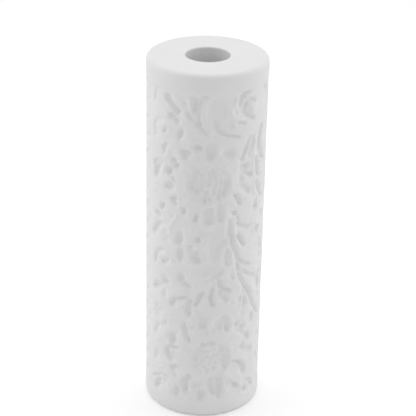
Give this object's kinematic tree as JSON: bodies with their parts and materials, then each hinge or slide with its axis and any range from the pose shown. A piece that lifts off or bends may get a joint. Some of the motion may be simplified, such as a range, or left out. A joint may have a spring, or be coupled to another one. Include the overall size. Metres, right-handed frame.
{
  "type": "clay texture roller",
  "caption": "Hollow cylindrical clay texture roller with a floral and scroll relief, plain end bands and a straight through bore for a handle rod.",
  "frame": {"origin": "centre of the lower end face, on the roller's axis", "axes": "+Z along the roller's axis, up to the other end; -Y towards the side of the pattern that the picture shows"},
  "size_m": [0.0382, 0.0382, 0.1199],
  "materials": {
    "matte_white": "matte"
  },
  "bodies": {
    "root": {"roller_body": "matte_white"}
  },
  "joints": []
}
